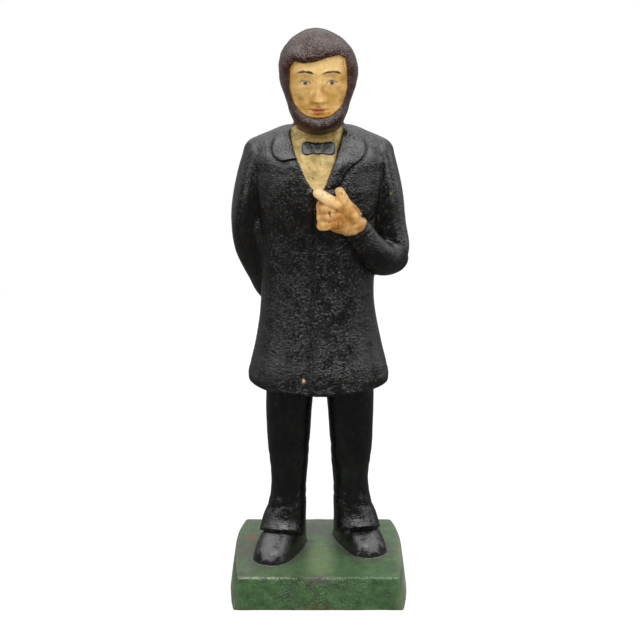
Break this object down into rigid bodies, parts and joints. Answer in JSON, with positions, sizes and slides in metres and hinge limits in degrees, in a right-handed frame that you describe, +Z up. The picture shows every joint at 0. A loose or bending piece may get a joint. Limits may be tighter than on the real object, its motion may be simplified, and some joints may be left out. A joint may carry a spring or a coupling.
{
  "type": "figural doorstop",
  "caption": "Cast iron doorstop in the form of a standing bearded man in a long coat on a block plinth, cast as a front and a back half that screws hold together.",
  "frame": {"origin": "on the floor, at the middle of the plinth's underside rim", "axes": "+Z up through the head, the figure faces -Y, +X is its left side; the two halves part on the plane y = 0"},
  "size_m": [0.105, 0.084, 0.3305],
  "materials": {
    "front_casting": "old gloss enamel over sand cast iron: black coat, trousers and shoes, brown hair, cream face and shirt, green plinth",
    "back_casting": "old gloss enamel over sand cast iron: black coat, trousers and shoes, brown hair, green plinth",
    "screw_steel": "painted over in black and worn back to dark steel on the rims and the slot's edges"
  },
  "bodies": {
    "root": {"front_half": "front_casting", "back_half": "back_casting", "upper_screw": "screw_steel", "lower_screw": "screw_steel"}
  },
  "joints": []
}
